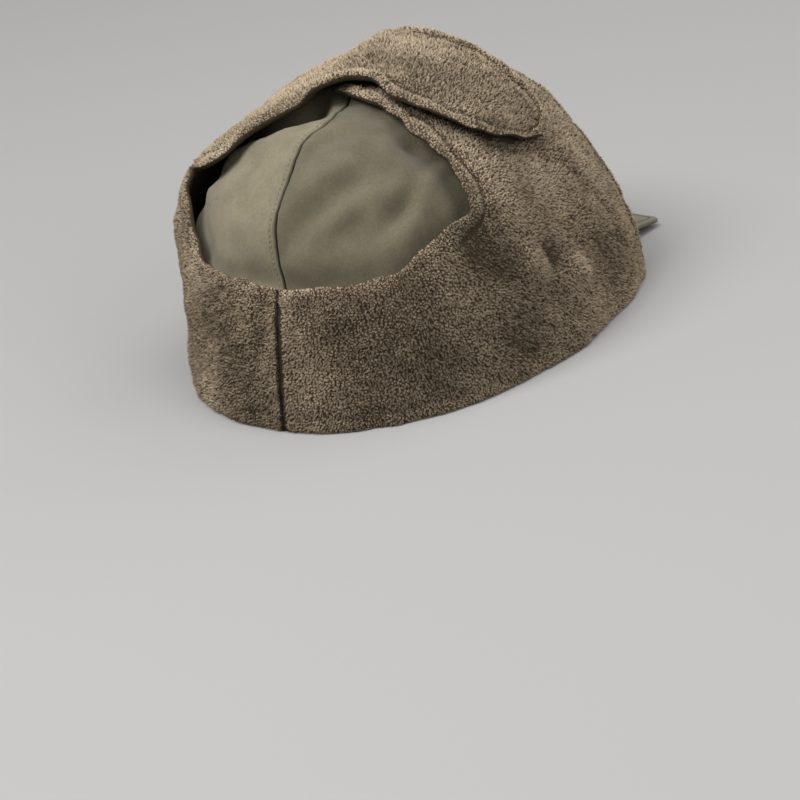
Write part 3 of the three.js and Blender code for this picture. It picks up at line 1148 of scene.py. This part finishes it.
# How many tufts grow at a place, how long and how light they are. A stitched line lays it bare.
cover = {
    "bareGain": 1.1,
    "barePower": 1.4,
    "bareThinning": 0.8,
    "bareShortening": 0.45,
    "edgeLength": 0.55,
    "edgeLengthOver": 7,
    "seamLength": 0.65,
    "seamLengthOver": 1.8,
    "edgeTone": 0.14,
    "edgeToneWidth": 5,
    # these paint shade in the grooves, the folds' hollows, the dents, by the opening and at the
    # seam, and light on the folds' ridges
    "bareShade": 0.7,
    "secondShade": 0.35,
    "foldLightAndShade": 0.115,
    "foldDeepest": -3.5,
    "foldHighest": 1.2,
    "openingShade": 0.32,
    "openingShadeWidth": 9,
    "lapTone": 0.1,
    "dentShade": 0.1125,
    "seamPaintedShade": 0.8,
    "seamPaintedShadeWidth": 0.9,
    "coverMargin": 7,  # tufts go on this far under the other flap's edge
    "coverReach": 0.022,  # directions nearer than this lie under the same place
}


def tuftValues(side, flap):
    flat, fromEdge, fromSeam = flap["flat"], flap["fromEdge"], flap["fromSeam"]
    bare = clamp01(flap["groove"] * cover["bareGain"]) ** cover["barePower"]
    length = 1 - cover["bareShortening"] * bare
    length = length * mix(cover["edgeLength"], 1, ease(fromEdge / cover["edgeLengthOver"]))
    length = length * mix(cover["seamLength"], 1, ease(fromSeam / cover["seamLengthOver"]))
    tone = cover["edgeTone"] * bell(fromEdge, cover["edgeToneWidth"])
    # Painted shade in the stitched lines' grooves
    tone -= cover["bareShade"] * bare
    tone -= cover["secondShade"] * flap["second"]
    # Painted shade in the folds' hollows and painted light on their ridges
    folds = np.clip(flap["folds"], cover["foldDeepest"], cover["foldHighest"])
    tone += cover["foldLightAndShade"] * folds
    if side > 0:
        # Painted shade along the left flap's edge by the opening
        byOpening = np.exp(-flap["fromHigh"] / cover["openingShadeWidth"]) * (1 - flap["inLap"])
        tone -= cover["openingShade"] * byOpening
        tone -= cover["lapTone"] * flap["inLap"]
    tone += drift(flat, "tone")
    # Painted shade in the dents and at the nape seam
    tone -= cover["dentShade"] * bumps(flap["way"], pileDents, "depth")
    tone -= cover["seamPaintedShade"] * bell(fromSeam, cover["seamPaintedShadeWidth"])
    density = 1 - cover["bareThinning"] * bare
    return {"furAmount": density, "furLength": length, "furTone": tone}


def gridArea(points):
    acrossStep = np.diff(points, axis=1)[:-1]
    alongStep = np.diff(points, axis=0)[:, :-1]
    return np.linalg.norm(np.cross(acrossStep, alongStep), axis=-1).sum()


def makeFlap(side, stations, name, nodeName):
    flap = makeFlapGrid(side, stations)
    addGrooves(side, flap)
    grids = flapFaces(side, flap)
    # Painted shade on the backing along the nape seam's gap
    shade = bell(flap["fromSeam"], pile["seamShadeWidth"])
    mesh = wall(name, *grids, values={"seamShade": shade})
    flap["obj"] = finishPiece(objectFrom(name, mesh, pileBacking), nodeName)
    flap["face"] = grids[0]
    flap["values"] = tuftValues(side, flap)
    length = (flap["fromSeam"] + flap["toEnd"]).max()
    widest = (flap["fromLow"] + flap["fromHigh"]).max()
    print(name, "length", length, "widest", widest, "area", gridArea(grids[0]))
    return flap


# No tufts grow where the other flap lies on top
def leaveOutCovered(flap, over):
    held = over["way"][over["fromEdge"] > cover["coverMargin"]]
    tree = KDTree(len(held))
    for k, place in enumerate(held):
        tree.insert(place, k)
    tree.balance()
    d = flap["way"]
    nearest = np.array([tree.find(place)[2] for place in d.reshape(-1, 3)]).reshape(d.shape[:-1])
    amount = flap["values"]["furAmount"]
    flap["values"]["furAmount"] = np.where(nearest < cover["coverReach"], 0, amount)


# The upper face's rows, with its values, as a mesh for the tufts to grow on
def tuftEmitter(name, flap, rows):
    part = flap["face"][rows]
    faces = gridFaces(*part.shape[:2], 0, False)
    values = {key: value[rows] for key, value in flap["values"].items()}
    mesh = meshFrom(name, part.reshape(-1, 3), faces, None, values)
    work = bmesh.new()
    work.from_mesh(mesh)
    work.normal_update()
    middle = Vector((0, 0, 0.03))
    outward = sum(face.normal.dot(face.calc_center_median() - middle) for face in work.faces)
    if outward < 0:
        bmesh.ops.reverse_faces(work, faces=work.faces)
    for face in work.faces:
        face.smooth = True
    work.to_mesh(mesh)
    work.free()
    return objectFrom(name, mesh)


tufts = {
    "perSquareMm": 6.3,
    "length": 1.35,
    "width": 0.52,
    "lengthSpread": 0.5,
    "widthSpread": 0.25,
    "lean": 0.85,
    "lockSize": 1.0,
    "lockPull": 1.1,
    "locksPerSquareMm": 4,
    "swirlSize": 4,
    "driftSize": 28,
    "leftSeed": 41,
    "rightSeed": 43,
    "areaSeedStep": 100,
    # What a tuft's heading is made of, and how far it may turn around itself, in radians
    "noiseReach": 3.2,
    "swirl": 0.4,
    "drift": 0.18,
    "loose": 0.55,
    "sag": 0.18,
    "turnRange": 6.283,
    # Between the locks the tufts are fewer, and darker with painted shade for the pits between
    # locks; places are shares of a lock's size
    "thinFrom": 0.55,
    "thinTo": 0.9,
    "thinLeast": 0.2,
    "gapFrom": 0.5,
    "gapTo": 0.95,
    "lockTone": 0.1,
    "gapShade": -0.6,
    "lockToneSpread": 0.14,
    "ownToneSpread": 0.15,
    "baseTone": 0.12,
    "clumpTone": 0.3,
    "clumpScale": 420,
    "patchTone": 0.4,
    "patchScale": 40,
    "rootSunk": 0.15,
    "uvMargin": 0.02,
}


# Random values differ by their offset from the tree's seed; the node has an output for each kind
def randomBetween(tree, given, offset, low, high, kind="FLOAT", who=None):
    inputs = {"Min": low, "Max": high, "Seed": maths(tree, "ADD", given["Seed"], offset)}
    if who is not None:
        inputs["ID"] = who
    made = node(tree, "FunctionNodeRandomValue", inputs, data_type=kind)
    return next(output for output in made.outputs if output.name == "Value" and output.enabled)


def mapRange(tree, *values):
    return node(tree, "ShaderNodeMapRange", dict(enumerate(values))).outputs[0]


# Tufts gather into small locks: the nearest lock's number, and the way to its middle
def nearestLock(tree, given, place):
    inputs = {
        "Mesh": given["Geometry"],
        "Distance Min": given["Lock Size"],
        "Density Max": tufts["locksPerSquareMm"] * 1e6,
        "Seed": given["Seed"],
    }
    locks = node(
        tree, "GeometryNodeDistributePointsOnFaces", inputs, distribute_method="POISSON"
    ).outputs["Points"]
    inputs = {"Geometry": locks, "Sample Position": place}
    lock = node(tree, "GeometryNodeSampleNearest", inputs, domain="POINT").outputs["Index"]
    inputs = {"Geometry": locks, "Value": place, "Index": lock}
    middle = node(
        tree, "GeometryNodeSampleIndex", inputs, data_type="FLOAT_VECTOR", domain="POINT"
    ).outputs["Value"]
    return lock, vectors(tree, "SUBTRACT", middle, place)


# Points on the faces, with their normals kept
def spreadPoints(tree, given):
    density = maths(tree, "MULTIPLY", namedValue(tree, "furAmount"), given["Per Square Metre"])
    inputs = {"Mesh": given["Geometry"], "Density": density, "Seed": given["Seed"]}
    kind = "GeometryNodeDistributePointsOnFaces"
    spread = node(tree, kind, inputs, distribute_method="RANDOM").outputs
    keep = node(tree, "GeometryNodeCaptureAttribute", domain="POINT")
    keep.capture_items.new("VECTOR", "Normal")
    feed(tree, keep, {"Geometry": spread["Points"], "Normal": spread["Normal"]})
    return keep.outputs["Geometry"], keep.outputs["Normal"]


# A tuft stands on its normal, and leans with swirls, a slow drift, its lock and its own chance
def tuftTurn(tree, given, place, normal, toMiddle):
    def heading(size, detail):
        scale = maths(tree, "DIVIDE", 1.0, size)
        color = noise(tree, place, scale, detail, output="Color")
        centred = vectors(tree, "SUBTRACT", color, (0.5, 0.5, 0.5))
        return scaled(tree, centred, tufts["noiseReach"])

    low, high = (-1.0, -1.0, -1.0), (1.0, 1.0, 1.0)
    loose = randomBetween(tree, given, 7, low, high, "FLOAT_VECTOR")
    pull = maths(tree, "DIVIDE", given["Lock Pull"], given["Lock Size"])
    whole = scaled(tree, heading(given["Swirl Size"], 1.0), tufts["swirl"])
    for part in (
        scaled(tree, heading(given["Drift Size"], 0.0), tufts["drift"]),
        scaled(tree, loose, tufts["loose"]),
        (0.0, 0.0, -tufts["sag"]),
        scaled(tree, toMiddle, pull),
    ):
        whole = vectors(tree, "ADD", whole, part)
    upPart = scaled(tree, normal, vectors(tree, "DOT_PRODUCT", whole, normal))
    along = scaled(tree, vectors(tree, "SUBTRACT", whole, upPart), given["Lean"])
    inputs = {"Vector": vectors(tree, "ADD", normal, along)}
    turn = node(tree, "FunctionNodeAlignRotationToVector", inputs, axis="Z").outputs["Rotation"]
    angle = randomBetween(tree, given, 11, 0.0, tufts["turnRange"])
    inputs = {"Axis": (0.0, 0.0, 1.0), "Angle": angle}
    spin = node(tree, "FunctionNodeAxisAngleToRotation", inputs).outputs["Rotation"]
    inputs = {"Rotation": turn, "Rotate By": spin}
    turned = node(tree, "FunctionNodeRotateRotation", inputs, rotation_space="LOCAL")
    return turned.outputs["Rotation"]


def tuftSize(tree, given):
    low = maths(tree, "SUBTRACT", 1.0, given["Length Spread"])
    high = maths(tree, "ADD", 1.0, given["Length Spread"])
    share = randomBetween(tree, given, 13, low, high)
    varied = maths(tree, "MULTIPLY", share, namedValue(tree, "furLength"))
    length = maths(tree, "MULTIPLY", given["Tuft Length"], varied)
    low, high = 1 - tufts["widthSpread"], 1 + tufts["widthSpread"]
    wide = maths(tree, "MULTIPLY", given["Tuft Width"], randomBetween(tree, given, 17, low, high))
    return node(tree, "ShaderNodeCombineXYZ", {"X": wide, "Y": wide, "Z": length}).outputs[0]


# One tuft is a three-sided cone that is open at the foot and stands a little in the backing
def tuftCone(tree, place):
    inputs = {
        "Vertices": 3,
        "Side Segments": 1,
        "Radius Top": 0.0,
        "Radius Bottom": 0.5,
        "Depth": 1.0,
    }
    cone = node(tree, "GeometryNodeMeshCone", inputs, fill_type="NONE").outputs["Mesh"]
    inputs = {"Geometry": cone, "Translation": (0.0, 0.0, -tufts["rootSunk"])}
    sunk = node(tree, "GeometryNodeTransform", inputs).outputs[0]
    inputs = {"Geometry": sunk, "Shade Smooth": True}
    smooth = node(tree, "GeometryNodeSetShadeSmooth", inputs).outputs[0]
    height = node(tree, "ShaderNodeSeparateXYZ", {"Vector": place}).outputs["Z"]
    rise = maths(tree, "ADD", height, tufts["rootSunk"])
    return storeValue(tree, smooth, "rootToTip", rise, "FLOAT", "POINT")


def tuftShade(tree, given, place, lock, lockShare):
    # Painted shade: tufts darken from their lock's middle towards the gaps between locks
    shade = mapRange(
        tree, lockShare, tufts["gapFrom"], tufts["gapTo"], tufts["lockTone"], tufts["gapShade"]
    )
    spread = tufts["lockToneSpread"]
    lockTone = randomBetween(tree, given, 23, -spread, spread, who=lock)
    shade = maths(tree, "ADD", maths(tree, "ADD", shade, lockTone), tufts["baseTone"])
    clump = noise(tree, place, tufts["clumpScale"], 1.0)
    shade = maths(tree, "MULTIPLY_ADD", clump, tufts["clumpTone"], shade)
    patch = noise(tree, place, tufts["patchScale"], 1.0)
    shade = maths(tree, "MULTIPLY_ADD", patch, tufts["patchTone"], shade)
    spread = tufts["ownToneSpread"]
    shade = maths(tree, "ADD", shade, randomBetween(tree, given, 19, -spread, spread))
    shade = maths(tree, "ADD", shade, namedValue(tree, "furTone"))
    return node(tree, "ShaderNodeClamp", {"Value": shade}).outputs[0]


# The tufts' shade and height become a UV map, a little inside its borders
def storeBakeMap(tree, geometry):
    margin = tufts["uvMargin"]
    inputs = {}
    for axis, name in (("X", "tuftShade"), ("Y", "rootToTip")):
        value = namedValue(tree, name)
        inputs[axis] = maths(tree, "MULTIPLY_ADD", value, 1 - 2 * margin, margin)
    uv = node(tree, "ShaderNodeCombineXYZ", inputs).outputs[0]
    return storeValue(tree, geometry, "OFBake", uv, "FLOAT2", "CORNER")


def makeTuftTree():
    sockets = [
        ("Per Square Metre", "Float", tufts["perSquareMm"] * 1e6),
        ("Tuft Length", "Float", tufts["length"] * millimetre),
        ("Tuft Width", "Float", tufts["width"] * millimetre),
        ("Length Spread", "Float", tufts["lengthSpread"]),
        ("Lean", "Float", tufts["lean"]),
        ("Lock Size", "Float", tufts["lockSize"] * millimetre),
        ("Lock Pull", "Float", tufts["lockPull"]),
        ("Swirl Size", "Float", tufts["swirlSize"] * millimetre),
        ("Drift Size", "Float", tufts["driftSize"] * millimetre),
        ("Seed", "Int", tufts["leftSeed"]),
        ("Material", "Material", None),
    ]
    tree, given, end = newTree("scatterTufts", sockets)
    place = node(tree, "GeometryNodeInputPosition").outputs["Position"]
    lock, toMiddle = nearestLock(tree, given, place)
    lockShare = maths(tree, "DIVIDE", vectors(tree, "LENGTH", toMiddle), given["Lock Size"])
    points, normal = spreadPoints(tree, given)
    thin = mapRange(tree, lockShare, tufts["thinFrom"], tufts["thinTo"], 1.0, tufts["thinLeast"])
    inputs = {0: randomBetween(tree, given, 29, 0.0, 1.0), 1: thin}
    keep = node(tree, "FunctionNodeCompare", inputs, operation="LESS_THAN", data_type="FLOAT")
    inputs = {
        "Points": points,
        "Selection": keep.outputs[0],
        "Instance": tuftCone(tree, place),
        "Rotation": tuftTurn(tree, given, place, normal, toMiddle),
        "Scale": tuftSize(tree, given),
    }
    placed = node(tree, "GeometryNodeInstanceOnPoints", inputs).outputs[0]
    shade = tuftShade(tree, given, place, lock, lockShare)
    shaded = storeValue(tree, placed, "tuftShade", shade, "FLOAT", "INSTANCE")
    real = node(tree, "GeometryNodeRealizeInstances", {"Geometry": shaded}).outputs[0]
    # No tuft reaches below the rim
    at = node(tree, "ShaderNodeSeparateXYZ", {"Vector": place}).outputs
    inputs = {"X": at["X"], "Y": at["Y"], "Z": maths(tree, "MAXIMUM", at["Z"], 0.0)}
    above = node(tree, "ShaderNodeCombineXYZ", inputs).outputs[0]
    inputs = {"Geometry": storeBakeMap(tree, real), "Position": above}
    raised = node(tree, "GeometryNodeSetPosition", inputs).outputs[0]
    paintTo(tree, end, raised, given["Material"])
    return tree


tuftTree = makeTuftTree()


# A flap's tufts in four pieces, from the nape to the top
def growTufts(label, flap, seed):
    pieces = []
    cuts = np.linspace(0, len(flap["face"]) - 1, 5).astype(int)
    for k, area in enumerate(("nape", "side", "temple", "top")):
        name = f"ear_flap_{label}_tufts_{area}"
        emitter = tuftEmitter(name + "_root", flap, slice(cuts[k], cuts[k + 1] + 1))
        settings = {"Seed": seed + k * tufts["areaSeedStep"], "Material": pileTufts}
        pieces.append(finishPiece(bake(emitter, tuftTree, settings, name)))
        print(name, "faces", len(pieces[-1].data.polygons))
    return pieces


print("flaps")
leftFlap = makeFlap(1, leftStations, "ear_flap_left_pile", "ear_flap_left")
rightFlap = makeFlap(-1, rightStations, "ear_flap_right_pile", "ear_flap_right")
leaveOutCovered(rightFlap, leftFlap)
print("tufts")
leftTufts = growTufts("left", leftFlap, tufts["leftSeed"])
rightTufts = growTufts("right", rightFlap, tufts["rightSeed"])

peak = {
    "halfWidth": 62.5,
    "cornerY": -103.5,
    "cornerRadius": 3,
    "bowPower": 3,
    "thickness": 2.4,
    "edgeRound": 1.6,
    "edgeThickness": 0.35,  # share of the thickness left at the edge
    "edgeCornerSoft": 1.0,
    "rootHeight": 7,
    "rootRise": 4,
    "rootShare": 0.94,
    "drop": 3.8,
    "arch": 0.8,
    "seat": 0.35,
    "stitchFromEdge": 2.4,
    "stitchWidth": 0.6,
    "stitchDip": 0.35,
    "stitchRise": 0.2,  # of the under face
    "stitchShade": 0.7,
    "threadSunk": 0.15,
    "edgeShade": 0.5,
    "edgeShadeWidth": 0.4,
    "across": 120,
    "out": 26,
    "outPower": 0.8,
}


# Where the peak meets the crown's foot, for each place across it
def peakRoot(x):
    around = np.linspace(90, 180, 2000)
    line = onCap(towards(1, around, np.full_like(around, peak["rootRise"])))
    rootX = np.abs(x) * peak["rootShare"]
    return np.interp(rootX, line[::-1, 0], line[::-1, 1]) - peak["seat"]


def peakEdge(x):
    bow = (1 - (x / peak["halfWidth"]) ** 2) ** peak["bowPower"]
    into = clamp01((np.abs(x) - peak["halfWidth"]) / peak["cornerRadius"] + 1)
    corner = peak["cornerRadius"] * (1 - np.sqrt(np.maximum(1 - into**2, 0)))
    return mix(peak["cornerY"], peakFront, bow) + corner


# The peak slopes down from its root, and towards its two sides
def peakLevel(out, span):
    return peak["rootHeight"] - peak["drop"] * out - peak["arch"] * span**2


def makePeak():
    span = np.sin(np.radians(np.linspace(-90, 90, peak["across"] + 1)))
    x = span * peak["halfWidth"]
    root, edge = peakRoot(x), peakEdge(x)
    out = np.linspace(0, 1, peak["out"] + 1) ** peak["outPower"]
    y = root[:, None] + (edge - root)[:, None] * out
    level = peakLevel(out, span[:, None])
    fromFront = np.abs(y - edge[:, None])
    fromSide = (1 - np.abs(span))[:, None] * peak["halfWidth"] + 0 * out
    fromEdge = softLeast([fromFront, fromSide], peak["edgeCornerSoft"])
    half = peak["thickness"] / 2 * roundEdge(fromEdge, peak["edgeThickness"], peak["edgeRound"])
    line = bell(fromEdge - peak["stitchFromEdge"], peak["stitchWidth"])
    xs = x[:, None] * mix(peak["rootShare"], 1, out)
    top = np.stack([xs, y, level + half - peak["stitchDip"] * line], -1)
    under = np.stack([xs, y, level - half + peak["stitchRise"] * line], -1)
    # Painted shade in the stitch line's dip and along the peak's edge
    shade = peak["stitchShade"] * line
    shade += peak["edgeShade"] * bell(fromEdge, peak["edgeShadeWidth"])
    mesh = wall("peak_cloth", top, under, uv=np.stack([xs, y], -1), values={"seamShade": shade})
    finishPiece(objectFrom("peak_cloth", mesh, peakCotton), "peak")
    run = edge + peak["stitchFromEdge"]
    height = peakLevel((run - root) / (edge - root), span) + peak["thickness"] / 2
    rows = np.abs(x) < peak["halfWidth"] - peak["stitchFromEdge"] - 1
    seam = np.stack([x, run, height - peak["threadSunk"]], -1)[rows]
    sewLine("peak_edge_stitches", seam)


print("peak")
makePeak()

studio = {
    "azimuth": 214,
    "elevation": 23,
    "roll": 10,
    "distance": 1500,
    "mmPerPixel": 0.43,
    "pixels": 800,
    "centrePixel": (428, 307.6),
    "sensor": 36,
    "clipMetres": (0.05, 50),
    "floorColor": (0.225, 0.221, 0.216),
    "floorRoughness": 0.9,
    "worldColor": (1.0, 0.985, 0.96),
    "worldStrength": 0.34,
    "floorHalf": 6.0,  # these three are metres
    "floorBelow": 0.0004,
    "lampsAimAt": 0.05,
}

# Turned and raised as the camera is; distance and size in metres
lamps = table(
    "name azimuth elevation distance size watts",
    ("key", 158, 54, 1.7, 0.8, 38),
    ("top", 240, 82, 1.6, 1.2, 19),
    ("side", 262, 30, 1.9, 1.3, 19),
    ("front", 330, 40, 2.4, 1.6, 16),
)


def awayFrom(azimuth, elevation):
    az, el = math.radians(azimuth), math.radians(elevation)
    return Vector((math.sin(az) * math.cos(el), -math.cos(az) * math.cos(el), math.sin(el)))


def makeStudio():
    half = studio["floorHalf"]
    corners = [(-half, -half, 0), (half, -half, 0), (half, half, 0), (-half, half, 0)]
    mesh = bpy.data.meshes.new("floor")
    mesh.from_pydata(corners, [], [(0, 1, 2, 3)])
    floorMaterial, tree, shader = material("paleFloor")
    color = (*studio["floorColor"], 1)
    feed(tree, shader, {"Base Color": color, "Roughness": studio["floorRoughness"]})
    floor = objectFrom("floor", mesh, floorMaterial)
    floor.location.z = -studio["floorBelow"]
    world = bpy.data.worlds.new("studio")
    world.use_nodes = True
    inputs = {"Color": (*studio["worldColor"], 1), "Strength": studio["worldStrength"]}
    feed(world.node_tree, world.node_tree.nodes["Background"], inputs)
    bpy.context.scene.world = world
    for lamp in lamps:
        light = bpy.data.lights.new(lamp["name"], "AREA")
        light.size = lamp["size"]
        light.energy = lamp["watts"]
        obj = bpy.data.objects.new(lamp["name"], light)
        back = awayFrom(lamp["azimuth"], lamp["elevation"])
        obj.location = back * lamp["distance"] + Vector((0, 0, studio["lampsAimAt"]))
        obj.rotation_mode = "QUATERNION"
        obj.rotation_quaternion = back.to_track_quat("Z", "Y")
        bpy.context.scene.collection.objects.link(obj)


def makeCamera():
    roll = math.radians(studio["roll"])
    focal = studio["distance"] / studio["mmPerPixel"]
    back = awayFrom(studio["azimuth"], studio["elevation"])
    ahead = -back
    right = ahead.cross(Vector((0, 0, 1))).normalized()
    up = right.cross(ahead)
    across = math.cos(roll) * right - math.sin(roll) * up
    above = math.sin(roll) * right + math.cos(roll) * up
    # The cap stands beside the picture's middle, so the camera turns a little instead of shifting
    middle = studio["pixels"] / 2
    px, py = studio["centrePixel"]
    aim = ahead + across * (middle - px) / focal - above * (middle - py) / focal
    aim.normalize()
    side = aim.cross(above).normalized()
    data = bpy.data.cameras.new("camera")
    data.sensor_width = studio["sensor"]
    data.lens = focal / studio["pixels"] * studio["sensor"]
    data.clip_start, data.clip_end = studio["clipMetres"]
    camera = bpy.data.objects.new("camera", data)
    turn = Matrix((side, side.cross(aim), -aim)).transposed()
    camera.matrix_world = Matrix.Translation(back * studio["distance"] * millimetre) @ turn.to_4x4()
    bpy.context.scene.collection.objects.link(camera)
    bpy.context.scene.camera = camera


print("studio")
makeStudio()
makeCamera()
bpy.context.scene.view_settings.view_transform = "Standard"
